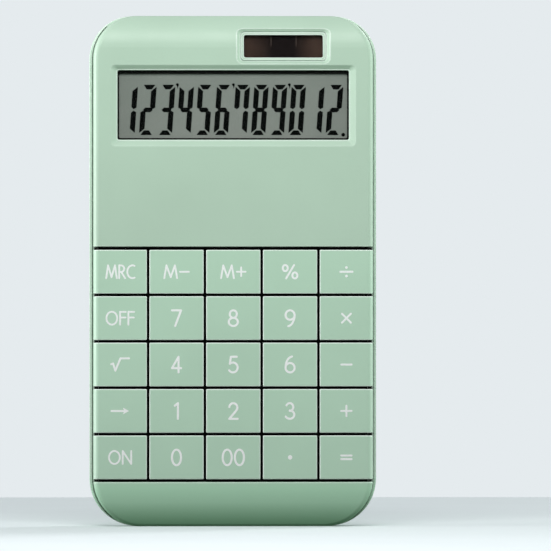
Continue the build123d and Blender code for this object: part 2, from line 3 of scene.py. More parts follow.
import bmesh
import bpy
from mathutils import Euler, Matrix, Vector


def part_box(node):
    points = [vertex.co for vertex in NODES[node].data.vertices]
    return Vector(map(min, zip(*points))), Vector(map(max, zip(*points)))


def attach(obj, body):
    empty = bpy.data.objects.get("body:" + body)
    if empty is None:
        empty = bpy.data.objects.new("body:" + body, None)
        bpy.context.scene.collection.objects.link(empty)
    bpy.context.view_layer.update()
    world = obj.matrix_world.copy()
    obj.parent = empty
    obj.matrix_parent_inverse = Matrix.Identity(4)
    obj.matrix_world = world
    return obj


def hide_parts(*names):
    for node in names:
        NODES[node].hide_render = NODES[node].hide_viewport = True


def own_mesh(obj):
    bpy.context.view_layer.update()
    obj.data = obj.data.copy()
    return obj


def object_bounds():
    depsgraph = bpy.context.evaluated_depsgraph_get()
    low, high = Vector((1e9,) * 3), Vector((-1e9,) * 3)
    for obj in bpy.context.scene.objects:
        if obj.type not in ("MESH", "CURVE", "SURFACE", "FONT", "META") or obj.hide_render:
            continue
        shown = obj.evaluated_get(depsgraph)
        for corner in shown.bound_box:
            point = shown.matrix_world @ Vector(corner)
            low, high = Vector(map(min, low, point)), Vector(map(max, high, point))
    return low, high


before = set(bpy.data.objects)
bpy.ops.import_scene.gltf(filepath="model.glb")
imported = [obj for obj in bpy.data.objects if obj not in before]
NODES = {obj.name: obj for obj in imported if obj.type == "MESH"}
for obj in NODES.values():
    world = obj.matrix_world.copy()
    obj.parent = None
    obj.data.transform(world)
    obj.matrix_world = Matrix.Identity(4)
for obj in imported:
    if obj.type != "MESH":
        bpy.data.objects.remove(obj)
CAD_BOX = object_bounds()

MM = 0.001

# ---------------------------------------------------------------- camera, in metres
VIEW_WIDTH = 172.9 * MM        # width of the view at the middle of the case
VIEW_DISTANCE = 3.0            # from the middle of the case
VIEW_SIDE = math.radians(1.2)  # the camera stands a little to the left of straight ahead
VIEW_X = 13.4 * MM             # the case stands a little left of the middle of the view
VIEW_Z = 78.6 * MM             # height of the camera
SENSOR = 36.0

# ---------------------------------------------------------------- stage, in metres
SHELF_SIZE = (1.8, 1.2, 0.04)
SHELF_BACK = 0.39              # the shelf's far edge, behind the case
SHELF_EDGE = 0.003             # rounding of its edges
FLAG_SIZE = (0.36, 0.24)       # black card in the shelf, which keeps light off the lower end
FLAG_FORWARD = 0.28            # share of the card's length that it is moved towards the camera
FLAG_DEPTH = 0.002             # below the shelf's surface
# The studio's strength is 1, and less in three directions. Each has its own strength, and the part
# of a direction along one axis at which it is reached and at which it has faded out.
SKY_BELOW, BELOW_Z = 0.7, (-0.42, -0.06)
SKY_FRONT, FRONT_Y = 0.5, (-1.0, 0.2)
SKY_ABOVE, ABOVE_Z = 0.2, (1.0, 0.15)

# ---------------------------------------------------------------- soft pieces under the keys, in mm
KEY_GAP = 0.8                  # between two keys
SHEET_THICK = 1.0              # the rubber keypad's sheet
DOME_TOP = 2.6                 # radius of a dome's top
DOME_FOOT = 4.4                # and of its foot
DOME_SKIN = 0.8                # thickness of the top
DOME_ROUND = (0.25, 0.2)       # how far the top's rim is rounded, inwards and down
HOLLOW_FOOT = 4.2              # radii of the hollow
HOLLOW_TOP = 2.2
CORNER_CUT = 3.1               # taken off the sheet where four keys meet, for the frame's posts
STRIP_WIDTH = 1.25             # black strip beside the outer keys, which darkens the gaps there as shade would
STRIP_EDGE = 0.06              # rounding of its edges

# ---------------------------------------------------------------- display digits, in mm
DISPLAY_TEXT = "123456789012"
DIGIT_PITCH = 5.85
DIGIT_WIDTH = 4.5
DIGIT_HEIGHT = 15.75
DIGIT_LEFT = -32.57          # middle of the first digit
DIGIT_Z = 130.5              # middle height of every digit
DIGIT_SLANT = math.radians(4.0)
SEGMENT = 1.62               # thickness of an upright segment
BAR = 1.45                   # thickness of a level segment
SEGMENT_GAP = 0.22           # half the gap between the segments above and below the middle
SEGMENT_DEPTH = 0.05         # how far the segments stand before the film and reach into it
THOUSANDS_AFTER = (2, 5, 8)  # digits that a thousands mark follows
THOUSANDS_MARK = [(-0.5, 7.95), (-0.2, 8.35), (0.3, 8.3), (0.5, 7.9), (0.3, 7.1), (0.05, 6.6), (0.0, 7.4)]
POINT_RADIUS = 0.58
LIT = {
    "0": "abcdef", "1": "bc", "2": "abged", "3": "abgcd", "4": "fgbc",
    "5": "afgcd", "6": "afgedc", "7": "fabc", "8": "abcdefg", "9": "abcdfg",
}

# ---------------------------------------------------------------- solar cell, in mm
SOLAR_MIDDLE = 15.71
SOLAR_LINES = (11.9, 19.75)  # dividers between the cell's three strips
SOLAR_LINE_WIDTH = 0.14
SOLAR_LINE_PROUD = 0.02
SOLAR_LINE_SHORT = 0.6       # how much shorter than the cell they are

# ---------------------------------------------------------------- key legends, in mm
INK_DEPTH = 0.06             # thickness of a legend
INK_PROUD = 0.02             # and how much of it stands before the key
DIGIT_CAP, DIGIT_STROKE = 5.55, 0.66
LETTER_CAP, LETTER_STROKE = 4.6, 0.57
SIGN_STROKE = 0.62
DIGIT_SPACE = 1.0
LETTER_SPACE = 0.9
TIGHT_SPACE = 0.76           # between the wide letters of MRC

# ---------------------------------------------------------------- arcs, in degrees
ROUND_STEP = 12              # between two points
ROUND_TRIP = 360 - ROUND_STEP  # a closed ring doesn't repeat its first point
STROKE_END = 75              # half the arc that rounds off a stroke


# ---------------------------------------------------------------- materials
def srgb(r, g, b):
    """A colour from 0 to 255 in each channel, as a linear colour with alpha."""
    def linear(c):
        c /= 255
        return c / 12.92 if c <= 0.04045 else ((c + 0.055) / 1.055) ** 2.4
    return (linear(r), linear(g), linear(b), 1.0)


class Finish:
    """A material and the node tree it is built from."""

    def __init__(self, name):
        self.material = bpy.data.materials.new(name)
        self.material.use_nodes = True
        self.tree = self.material.node_tree
        self.tree.nodes.clear()
        self.place = self.add("ShaderNodeTexCoord").outputs["Object"]

    def add(self, kind, inputs=None, **settings):
        node = self.tree.nodes.new(kind)
        for key, value in settings.items():
            setattr(node, key, value)
        for key, value in (inputs or {}).items():
            self.put(node.inputs[key], value)
        return node

    def put(self, socket, value):
        if isinstance(value, bpy.types.NodeSocket):
            self.tree.links.new(value, socket)
        else:
            socket.default_value = value

    def stretched(self, scale):
        """Object coordinates, scaled differently along each axis."""
        return self.add("ShaderNodeMapping", {"Vector": self.place, "Scale": scale}).outputs[0]

    def noise(self, size_mm, detail=2.0, vector=None):
        """Noise with blots of about this size."""
        node = self.add("ShaderNodeTexNoise", {
            "Vector": vector or self.place, "Scale": 1 / (size_mm * MM), "Detail": detail})
        return node.outputs["Fac"]

    def spread(self, fac, low, high, to_low=0.0, to_high=1.0):
        node = self.add("ShaderNodeMapRange", {
            "Value": fac, "From Min": low, "From Max": high, "To Min": to_low, "To Max": to_high})
        return node.outputs[0]

    def math(self, operation, a, b=0.0):
        return self.add("ShaderNodeMath", {0: a, 1: b}, operation=operation).outputs[0]

    def mix(self, fac, a, b):
        node = self.add("ShaderNodeMix", {0: fac, 6: a, 7: b}, data_type="RGBA")
        return node.outputs[2]

    def bump(self, height, depth_mm):
        node = self.add("ShaderNodeBump", {
            "Height": height, "Distance": depth_mm * MM, "Strength": 1.0})
        return node.outputs[0]

    def edges(self, radius_mm):
        """1 on edges, 0 on flat faces. The edges are painted pale, partly as wear and partly as a painted
        highlight.
        """
        rounded = self.add("ShaderNodeBevel", {"Radius": radius_mm * MM}, samples=6).outputs[0]
        true = self.add("ShaderNodeNewGeometry").outputs["Normal"]
        dot = self.add("ShaderNodeVectorMath", {0: rounded, 1: true}, operation="DOT_PRODUCT")
        return self.spread(dot.outputs["Value"], 0.998, 0.93)

    def surface(self, colour, roughness, normal=None, **constants):
        inputs = {"Base Color": colour, "Roughness": roughness}
        if normal is not None:
            inputs["Normal"] = normal
        for key, value in constants.items():
            inputs[key.replace("_", " ")] = value
        shader = self.add("ShaderNodeBsdfPrincipled", inputs)
        return self.finish(shader.outputs[0])

    def finish(self, shader):
        self.add("ShaderNodeOutputMaterial", {"Surface": shader})
        return self.material


def tint(colour, factor):
    """The same colour, lighter or darker."""
    return tuple(min(1.0, c * factor) for c in colour[:3]) + (1.0,)


def moulded(name, colour, worn_and_highlit, rough=0.42, grain=0.006, wear_and_highlight_mm=0.45, gloss=0.45, key=False, foot=False):
    """Moulded plastic: a fine spark-eroded grain, faint flow marks, and pale edges, partly polished by
    hands and partly a painted highlight.

    A key also has painted shade on its skirt in the gaps; with foot, the rolled lower end has painted
    light and shade: greener where it starts to roll back, darker where it stands."""
    f = Finish(name)
    flow = f.spread(f.noise(38, 3), 0.3, 0.7)
    shade = f.mix(flow, tint(colour, 0.965), tint(colour, 1.03))
    specks = f.spread(f.noise(0.9, 3), 0.56, 0.75, 0.0, 0.10)
    shade = f.mix(specks, shade, tint(colour, 0.88))
    # Painted light and shade on the rolled lower end: greener where it starts to roll, darker where it
    # stands.
    if foot:
        height = f.add("ShaderNodeSeparateXYZ", {"Vector": f.place}).outputs["Z"]
        shade = f.mix(f.spread(height, *ROLL_HEIGHTS), shade, ROLL_PAINTED_GREEN_LIGHT)
        shade = f.mix(f.spread(height, *FOOT_HEIGHTS), shade, FOOT_PAINTED_SHADE)
    edge = f.edges(wear_and_highlight_mm)
    if key:
        edge, painted_skirt_shade = key_zones(f, edge)
    # Edges painted pale: partly wear, partly a painted highlight.
    rubbed_and_highlit = f.math("MULTIPLY", edge, f.spread(f.noise(6, 3), 0.2, 0.55, 0.7, 1.0))
    shade = f.mix(rubbed_and_highlit, shade, worn_and_highlit)
    # Painted shade darkens the keys' skirts in the gaps.
    if key:
        shade = f.mix(painted_skirt_shade, shade, SKIRT_PAINTED_SHADE)
    roughness = f.spread(f.noise(5, 4), 0.25, 0.75, rough - 0.05, rough + 0.06)
    roughness = f.math("SUBTRACT", roughness, f.math("MULTIPLY", rubbed_and_highlit, 0.10))
    normal = f.bump(f.noise(0.35, 2), grain)
    return f.surface(shade, roughness, normal, IOR=1.47, Specular_IOR_Level=gloss)


def key_zones(f, edge):
    """Where a key's rounded edge is painted pale, partly as wear and partly as a painted highlight, and
    where painted shade darkens its skirt in the gaps.
    """
    split = f.add("ShaderNodeSeparateXYZ", {"Vector": f.place}).outputs
    across = f.math("ABSOLUTE", split["X"])
    # Depth below the key tops, which roll down towards the sides of the case.
    side = f.math("MAXIMUM", f.math("SUBTRACT", across, COVER_HALF - SIDE_ROUND), 0.0)
    chord = f.math("SUBTRACT", SIDE_ROUND ** 2, f.math("MULTIPLY", side, side))
    drop = f.math("SUBTRACT", SIDE_ROUND, f.math("SQRT", f.math("MAXIMUM", chord, 0.0)))
    depth = f.math("SUBTRACT", f.math("SUBTRACT", split["Y"], FACE_Y), drop)
    inside = f.spread(across, COVER_HALF - 0.2 * MM, COVER_HALF - 0.4 * MM)
    # A key's rounded top edges are painted pale too, partly as wear and partly as a painted highlight.
    rounding = f.math("MULTIPLY", f.spread(depth, 0.004 * MM, 0.02 * MM), inside)
    # Painted shade on the skirt, below the key top.
    painted_skirt_shade = f.math("MULTIPLY", f.spread(depth, 0.16 * MM, 0.3 * MM), inside)
    return f.math("MAXIMUM", edge, rounding), painted_skirt_shade


def rubber(name, colour, rough=0.75):
    """Moulded rubber with a dusting of lint and a soft sheen."""
    f = Finish(name)
    shade = f.mix(f.spread(f.noise(3, 4), 0.3, 0.7), tint(colour, 0.85), tint(colour, 1.12))
    dust = f.spread(f.noise(0.5, 3), 0.62, 0.72, 0.0, 0.25)
    shade = f.mix(dust, shade, srgb(190, 190, 185))
    roughness = f.spread(f.noise(1.5, 3), 0.3, 0.7, rough - 0.08, rough + 0.1)
    return f.surface(shade, roughness, f.bump(f.noise(0.25, 3), 0.01), Sheen_Weight=0.2)


def steel(name, colour, rough=0.3, metal=1.0, grain_axis=(3, 90, 3)):
    """Plated metal, brushed along one axis, with a few duller spots."""
    f = Finish(name)
    brushed = f.noise(1.2, 3, f.stretched(grain_axis))
    shade = f.mix(f.spread(brushed, 0.3, 0.7), tint(colour, 0.82), tint(colour, 1.08))
    tarnish = f.spread(f.noise(1.8, 4), 0.58, 0.75, 0.0, 0.45)
    shade = f.mix(tarnish, shade, tint(colour, 0.5))
    roughness = f.spread(brushed, 0.3, 0.7, rough - 0.08, rough + 0.14)
    return f.surface(shade, roughness, f.bump(brushed, 0.006), Metallic=metal)


def clear_sheet(name, colour, mirror, rough=0.04):
    """Thin clear acrylic: what is behind it shows, under a faint reflection with fine rub marks."""
    f = Finish(name)
    rub = f.spread(f.noise(1.4, 5, f.stretched((1, 1, 6))), 0.62, 0.8, 0.0, 0.004)
    fresnel = f.add("ShaderNodeFresnel", {"IOR": 1.45}).outputs[0]
    share = f.math("ADD", f.math("MULTIPLY", fresnel, mirror), rub)
    through = f.add("ShaderNodeBsdfTransparent", {"Color": colour}).outputs[0]
    smudge = f.spread(f.noise(7, 4), 0.35, 0.7, rough, rough + 0.12)
    shine = f.add("ShaderNodeBsdfGlossy", {"Color": (1, 1, 1, 1), "Roughness": smudge}).outputs[0]
    return f.finish(f.add("ShaderNodeMixShader", {0: share, 1: through, 2: shine}).outputs[0])


def display_film():
    """The reflective grey of a liquid crystal display: fine rubbing grain and a slow change in tone."""
    f = Finish("display_film")
    height = f.add("ShaderNodeSeparateXYZ", {"Vector": f.place}).outputs["Z"]
    fall = f.spread(height, 121 * MM, 142 * MM)
    shade = f.mix(fall, srgb(148, 149, 145), srgb(146, 149, 145))
    grain = f.spread(f.noise(0.28, 3), 0.35, 0.7, 0.0, 0.25)
    shade = f.mix(grain, shade, srgb(120, 125, 119))
    mottle = f.spread(f.noise(9, 2), 0.35, 0.65, 0.0, 0.3)
    shade = f.mix(mottle, shade, srgb(130, 136, 130))
    return f.surface(shade, 0.6, f.bump(f.noise(0.2, 2), 0.004), Specular_IOR_Level=0.15)


def solar_film():
    """Amorphous silicon under glass: near black, with a lighter brown painted reflection towards both ends
    that shifts slowly over it.
    """
    f = Finish("solar_film")
    across = f.add("ShaderNodeSeparateXYZ", {"Vector": f.place}).outputs["X"]
    from_middle = f.math("ABSOLUTE", f.math("SUBTRACT", across, SOLAR_MIDDLE * MM))
    # A painted reflection: lighter brown towards both ends of the cell.
    ends = f.spread(from_middle, 3.5 * MM, 10 * MM)
    painted_reflection = f.math("MULTIPLY", ends, f.spread(f.noise(7, 2), 0.35, 0.65, 0.55, 1.0))
    shade = f.mix(painted_reflection, srgb(16, 7, 7), srgb(70, 51, 44))
    fine = f.spread(f.noise(0.4, 2, f.stretched((8, 1, 1))), 0.5, 0.8, 0.0, 0.12)
    shade = f.mix(fine, shade, srgb(46, 28, 26))
    return f.surface(shade, f.spread(f.noise(3, 3), 0.3, 0.7, 0.35, 0.5), None, Specular_IOR_Level=0.04)


def circuit_board():
    """Green solder mask over copper tracks."""
    f = Finish("circuit_board")
    lines = f.add("ShaderNodeTexBrick", {
        "Vector": f.stretched((1, 1, 1)), "Scale": 160.0, "Mortar Size": 0.02,
        "Color1": (0, 0, 0, 1), "Color2": (0.1, 0.1, 0.1, 1), "Mortar": (1, 1, 1, 1)})
    track = f.spread(f.noise(2.4, 0, f.stretched((1, 1, 4))), 0.48, 0.52)
    copper = f.math("MAXIMUM", track, lines.outputs["Fac"])
    shade = f.mix(copper, srgb(14, 74, 44), srgb(38, 112, 64))
    shade = f.mix(f.spread(f.noise(12, 3), 0.3, 0.7, 0.0, 0.35), shade, srgb(20, 84, 56))
    return f.surface(shade, 0.32, f.bump(copper, 0.02), Coat_Weight=0.3)


def banded(name, first, second, band_mm):
    """Thin layers of two rubbers, as in an elastomer connector."""
    f = Finish(name)
    wave = f.add("ShaderNodeTexWave", {
        "Vector": f.place, "Scale": 1 / (band_mm * MM * 3), "Distortion": 0.4, "Detail": 1.0},
        bands_direction="X")
    shade = f.mix(f.spread(wave.outputs["Fac"], 0.4, 0.6), first, second)
    return f.surface(shade, f.spread(f.noise(0.6, 3), 0.3, 0.7, 0.6, 0.8), f.bump(f.noise(0.2), 0.008))


def ink(name, colour, rough=0.5, gloss=0.3):
    """Printed ink with faint pinholes and an uneven film."""
    f = Finish(name)
    shade = f.mix(f.spread(f.noise(0.6, 3), 0.45, 0.75, 0.0, 0.5), colour, tint(colour, 0.86))
    return f.surface(shade, f.spread(f.noise(0.8, 3), 0.3, 0.7, rough, rough + 0.15),
                     f.bump(f.noise(0.18, 2), 0.004), Specular_IOR_Level=gloss)


CASE_GREEN = srgb(185, 210, 190)
KEY_GREEN = srgb(189, 221, 197)
ROLL_PAINTED_GREEN_LIGHT = srgb(178, 221, 190)  # painted greener light on the case, where its lower end starts to roll back
FOOT_PAINTED_SHADE = srgb(140, 190, 152)  # painted shade on the case, where it stands on the shelf
ROLL_HEIGHTS = (17 * MM, 12 * MM)  # heights over which the one and the other set in
FOOT_HEIGHTS = (7.5 * MM, 1.2 * MM)
SKIRT_PAINTED_SHADE = srgb(16, 26, 18)     # painted shade on the keys' skirts, in the gaps
# Pale edge colours: partly wear, partly a painted highlight.
CASE_EDGE_WEAR_AND_HIGHLIGHT = srgb(236, 247, 239)
KEY_EDGE_WEAR_AND_HIGHLIGHT = srgb(240, 252, 243)
BLACK_EDGE_WEAR_AND_HIGHLIGHT = srgb(20, 21, 20)
FACE_Y = CAD_BOX[0][1]       # the key tops
COVER_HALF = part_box("front_cover")[1].x
SIDE_ROUND = 1.7 * MM        # rounding down each side of the cover and the outer keys

FINISHES = {
    "case_mint": moulded("case_mint_plastic", CASE_GREEN, CASE_EDGE_WEAR_AND_HIGHLIGHT, wear_and_highlight_mm=0.6, foot=True),
    "key_mint": moulded("key_mint_plastic", KEY_GREEN, KEY_EDGE_WEAR_AND_HIGHLIGHT, rough=0.4, wear_and_highlight_mm=0.5, key=True),
    "black_plastic": moulded("black_plastic_moulded", srgb(10, 11, 10), BLACK_EDGE_WEAR_AND_HIGHLIGHT, rough=0.6, gloss=0.1),
    "keypad_rubber": rubber("silicone_keypad", srgb(120, 124, 120)),
    "carbon": rubber("carbon_pill", srgb(28, 28, 28), 0.6),
    "circuit_board": circuit_board(),
    "epoxy": moulded("black_epoxy", srgb(16, 16, 17), srgb(34, 34, 35), rough=0.22, grain=0.02),
    "ceramic": moulded("fired_ceramic", srgb(168, 142, 104), srgb(196, 178, 150), rough=0.55),
    "black_foam": rubber("black_foam_strip", srgb(9, 9, 9), 0.85),
    "clear_lens": clear_sheet("clear_acrylic", (0.97, 0.98, 0.972, 1), 0.08),
    "polarizer": display_film(),
    "display_glass": clear_sheet("display_glass_sheet", (0.9, 0.94, 0.92, 1), 0.3, 0.02),
    "reflector": steel("reflector_film", srgb(160, 166, 160), 0.5, 0.6),
    "zebra_rubber": banded("zebra_layers", srgb(176, 96, 100), srgb(40, 38, 38), 0.18),
    "solar_dark": solar_film(),
    "cell_steel": steel("nickel_plate", srgb(196, 196, 192), 0.25, 1.0, (90, 3, 3)),
    "contact_metal": steel("spring_plate", srgb(190, 184, 168), 0.3),
    "screw_steel": steel("zinc_plate", srgb(150, 151, 154), 0.34, 1.0, (20, 3, 20)),
    "foot_rubber": rubber("foot_rubber_soft", srgb(120, 146, 128)),
    "wire_black": rubber("wire_black_vinyl", srgb(24, 24, 25), 0.45),
    "wire_red": rubber("wire_red_vinyl", srgb(170, 34, 30), 0.45),
}
PALE_INK = ink("legend_ink", srgb(252, 255, 253))
CRYSTAL = ink("liquid_crystal", srgb(3, 5, 4), 0.6, 0.03)
CELL_LINE = ink("cell_divider", srgb(92, 74, 66), 0.5)

for node in NODES.values():
    for material_slot in node.material_slots:
        # The material belongs to the object, so the CAD mesh stays as it was packed.
        finish = FINISHES[material_slot.material.name.split(".")[0]]
        material_slot.link = "OBJECT"
        material_slot.material = finish


# ---------------------------------------------------------------- flat shapes, in mm
def prism(outline, low_y, high_y):
    """A closed solid from a flat outline of (x, z) points, from low_y back to high_y."""
    bm = bmesh.new()
    front = [bm.verts.new((x, low_y, z)) for x, z in outline]
    back = [bm.verts.new((x, high_y, z)) for x, z in outline]
    bm.faces.new(front)
    bm.faces.new(back[::-1])
    for i in range(len(outline)):
        j = (i + 1) % len(outline)
        bm.faces.new((front[j], front[i], back[i], back[j]))
    bmesh.ops.recalc_face_normals(bm, faces=bm.faces)
    return bm


def ring_prism(outer, inner, low_y, high_y):
    """A closed solid ring between two outlines with the same number of points."""
    bm = bmesh.new()
    loops = [[bm.verts.new((x, y, z)) for x, z in outline]
             for outline in (outer, inner) for y in (low_y, high_y)]
    outer_low, outer_high, inner_low, inner_high = loops
    count = len(outer)
    for i in range(count):
        j = (i + 1) % count
        for a, b in ((outer_low, inner_low), (inner_low, inner_high),
                     (inner_high, outer_high), (outer_high, outer_low)):
            bm.faces.new((a[i], a[j], b[j], b[i]))
    bmesh.ops.recalc_face_normals(bm, faces=bm.faces)
    return bm


def joined(parts):
    """One bmesh with copies of all the parts."""
    whole = bmesh.new()
    for part in parts:
        mesh = bpy.data.meshes.new("part")
        part.to_mesh(mesh)
        part.free()
        whole.from_mesh(mesh)
        bpy.data.meshes.remove(mesh)
    return whole


def fused(parts):
    """The union of overlapping solids, as one bmesh."""
    objects = []
    for part in parts:
        mesh = bpy.data.meshes.new("stroke")
        part.to_mesh(mesh)
        part.free()
        ob = bpy.data.objects.new("stroke", mesh)
        bpy.context.scene.collection.objects.link(ob)
        objects.append(ob)
    first = objects[0]
    for other in objects[1:]:
        cut = first.modifiers.new("fuse", "BOOLEAN")
        cut.operation = "UNION"
        cut.solver = "EXACT"
        cut.object = other
    result = bmesh.new()
    graph = bpy.context.evaluated_depsgraph_get()
    result.from_mesh(first.evaluated_get(graph).to_mesh())
    for ob in objects:
        mesh = ob.data
        bpy.data.objects.remove(ob)
        bpy.data.meshes.remove(mesh)
    return result


def piece(name, bm, material, body, at=(0, 0, 0)):
    """A finished object in metres, riding on a body."""
    bmesh.ops.translate(bm, verts=bm.verts, vec=Vector(at))
    bmesh.ops.scale(bm, verts=bm.verts, vec=(MM, MM, MM))
    mesh = bpy.data.meshes.new(name)
    bm.to_mesh(mesh)
    bm.free()
    mesh.materials.append(material)
    ob = bpy.data.objects.new(name, mesh)
    bpy.context.scene.collection.objects.link(ob)
    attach(ob, body)
    return ob


# ---------------------------------------------------------------- pen strokes
def arc(x, z, rx, rz, start, end):
    """Points on an ellipse from start to end, in degrees, anticlockwise if end is larger."""
    start, end = math.radians(start), math.radians(end)
    steps = max(2, round(abs(end - start) / math.radians(ROUND_STEP)))
    angles = [start + (end - start) * i / steps for i in range(steps + 1)]
    return [(x + rx * math.cos(a), z + rz * math.sin(a)) for a in angles]


def side_points(points, offset, closed):
    """The points moved sideways by offset, along the mean of their two runs' normals."""
    count = len(points)
    moved = []
    for i, (x, z) in enumerate(points):
        before = points[i - 1] if closed or i else points[i]
        after = points[(i + 1) % count] if closed or i < count - 1 else points[i]
        along = Vector((after[0] - before[0], after[1] - before[1])).normalized()
        moved.append((x - along.y * offset, z + along.x * offset))
    return moved


def stroke(points, width, closed=False):
    """A pen stroke of even width, with round ends, as a solid."""
    half = width / 2
    left = side_points(points, half, closed)
    right = side_points(points, -half, closed)
    if closed:
        return ring_prism(right, left, -INK_PROUD, INK_DEPTH - INK_PROUD)
    outline = list(right)
    for end, near in ((points[-1], points[-2]), (points[0], points[1])):
        heading = math.degrees(math.atan2(end[1] - near[1], end[0] - near[0]))
        outline += arc(end[0], end[1], half, half, heading - STROKE_END, heading + STROKE_END)
        if end is points[-1]:
            outline += left[::-1]
    return prism(outline, -INK_PROUD, INK_DEPTH - INK_PROUD)


def ellipse(x, z, rx, rz):
    """Points all the way round."""
    return arc(x, z, rx, rz, 0, ROUND_TRIP)


def dot(x, z, radius):
    """A round point, as thick as a stroke."""
    return prism(ellipse(x, z, radius, radius), -INK_PROUD, INK_DEPTH - INK_PROUD)


# Each character's width and strokes, as shares of the height that the pen travels. A ring has its
# middle and its radii. The m is the wide M of the memory keys.
GLYPHS = {
    "0": (0.58, [("ring", 0.29, 0.5, 0.29, 0.5)]),
    "1": (0.22, [[(0, 0.84), (0.2, 1)], [(0.2, 1), (0.2, 0)]]),
    "2": (0.56, [arc(0.28, 0.72, 0.26, 0.28, 172, -38) + [(0.02, 0.0)], [(0.02, 0), (0.56, 0)]]),
    "3": (0.56, [arc(0.26, 0.755, 0.23, 0.245, 155, -90), arc(0.26, 0.265, 0.29, 0.265, 90, -152)]),
    "4": (0.58, [[(0.42, 1), (0, 0.27)], [(0, 0.27), (0.58, 0.27)], [(0.42, 1), (0.42, 0)]]),
    "5": (0.56, [[(0.5, 1), (0.13, 1)], [(0.13, 1), (0.06, 0.55)],
                 arc(0.26, 0.315, 0.3, 0.315, 132, -145)]),
    "6": (0.58, [("ring", 0.29, 0.3, 0.29, 0.3), arc(0.46, 0.3, 0.46, 0.72, 97, 178)]),
    "7": (0.58, [[(0, 1), (0.58, 1)], [(0.58, 1), (0.2, 0)]]),
    "8": (0.58, [("ring", 0.29, 0.76, 0.225, 0.24), ("ring", 0.29, 0.26, 0.29, 0.26)]),
    "9": (0.58, [("ring", 0.29, 0.7, 0.29, 0.3), arc(0.12, 0.7, 0.46, 0.72, -83, 2)]),
    "M": (0.82, [[(0, 0), (0.14, 1)], [(0.14, 1), (0.41, 0.08)], [(0.41, 0.08), (0.68, 1)],
                 [(0.68, 1), (0.82, 0)]]),
    "m": (1.0, [[(0, 0), (0.17, 1)], [(0.17, 1), (0.5, 0.08)], [(0.5, 0.08), (0.83, 1)],
                [(0.83, 1), (1.0, 0)]]),
    "R": (0.44, [[(0, 0), (0, 1)], [(0.02, 0.99), (0.16, 0.99)] + arc(0.16, 0.74, 0.23, 0.25, 80, -80)
                 + [(0.16, 0.49), (0.03, 0.49)], [(0.17, 0.47), (0.46, 0)]]),
    "C": (0.52, [arc(0.4, 0.5, 0.4, 0.5, 66, 294)]),
    "O": (0.84, [("ring", 0.42, 0.5, 0.42, 0.5)]),
    "F": (0.42, [[(0, 0), (0, 1)], [(0.01, 0.99), (0.44, 0.99)], [(0.03, 0.55), (0.42, 0.55)]]),
    "N": (0.66, [[(0, 0), (0, 1)], [(0, 1), (0.66, 0)], [(0.66, 0), (0.66, 1)]]),
    "-": (0.68, [[(0, 0.5), (0.68, 0.5)]]),
    "+": (0.68, [[(0, 0.5), (0.68, 0.5)], [(0.34, 0.16), (0.34, 0.84)]]),
}


def glyph(character, cap, width):
    """The solid of one character and how wide it is."""
    reach = cap - width
    span, strokes = GLYPHS[character]
    solids = []
    for entry in strokes:
        if entry[0] == "ring":
            x, z, rx, rz = (v * reach for v in entry[1:])
            solids.append(stroke(ellipse(x, z, rx, rz), width, closed=True))
        else:
            solids.append(stroke([(x * reach, z * reach) for x, z in entry], width))
    return fused(solids), span * reach


def word(text, cap, width, gap):
    """Characters side by side, centred on the origin."""
    parts, cursor = [], 0.0
    for character in text:
        bm, span = glyph(character, cap, width)
        bmesh.ops.translate(bm, verts=bm.verts, vec=(cursor, 0, -(cap - width) / 2))
        parts.append(bm)
        cursor += span + gap
    whole = joined(parts)
    bmesh.ops.translate(whole, verts=whole.verts, vec=(-(cursor - gap) / 2, 0, 0))
    return whole


def bars(*runs, dots=()):
    """A sign made of straight strokes and dots."""
    return fused([stroke(list(run), SIGN_STROKE) for run in runs] + [dot(*d) for d in dots])


def arrow():
    """The backspace key's sign."""
    shaft = stroke([(-2.7, 0), (1.4, 0)], SIGN_STROKE)
    head = prism([(0.9, -1.05), (2.8, 0), (0.9, 1.05), (1.25, 0)], -INK_PROUD, INK_DEPTH - INK_PROUD)
    return fused([shaft, head])


def percent():
    """Two rings and a slash."""
    rings = [stroke(ellipse(side * 1.5, -side * 1.15, 0.78, 0.95), SIGN_STROKE, closed=True)
             for side in (-1, 1)]
    return joined(rings + [stroke([(-1.25, -2.1), (1.25, 2.1)], SIGN_STROKE)])


def digits(text):
    """The legend of a number key."""
    return word(text, DIGIT_CAP, DIGIT_STROKE, DIGIT_SPACE)


def letters(text, gap=LETTER_SPACE):
    """The legend of a key with letters on it."""
    return word(text, LETTER_CAP, LETTER_STROKE, gap)


LEGENDS = {
    "key_mrc": letters("MRC", TIGHT_SPACE),
    "key_m_minus": letters("m-"),
    "key_m_plus": letters("m+"),
    "key_percent": percent(),
    "key_divide": bars([(-1.9, 0), (1.9, 0)], dots=((0, 1.35, 0.42), (0, -1.35, 0.42))),
    "key_off": letters("OFF"),
    "key_on": letters("ON"),
    "key_multiply": bars([(-1.4, -1.4), (1.4, 1.4)], [(-1.4, 1.4), (1.4, -1.4)]),
    "key_minus": bars([(-1.62, 0), (1.62, 0)]),
    "key_plus": bars([(-1.62, 0), (1.62, 0)], [(0, -1.62), (0, 1.62)]),
    "key_equals": bars([(-1.62, 0.56), (1.62, 0.56)], [(-1.62, -0.56), (1.62, -0.56)]),
    "key_point": dot(0, 0, 0.7),
    "key_root": bars([(-2.8, 0.1), (-2.2, 0.35)], [(-2.2, 0.35), (-1.5, -1.9)],
                     [(-1.5, -1.9), (0.1, 1.95)], [(0.1, 1.95), (2.8, 1.95)]),
    "key_backspace": arrow(),
    "key_00": digits("00"),
}
for number in "0123456789":
    LEGENDS["key_" + number] = digits(number)

for key_name, legend in LEGENDS.items():
    low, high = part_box(key_name)
    middle = (low + high) / 2 / MM
    piece("legend_" + key_name[4:], legend, PALE_INK, key_name,
          (middle.x, low.y / MM, middle.z))


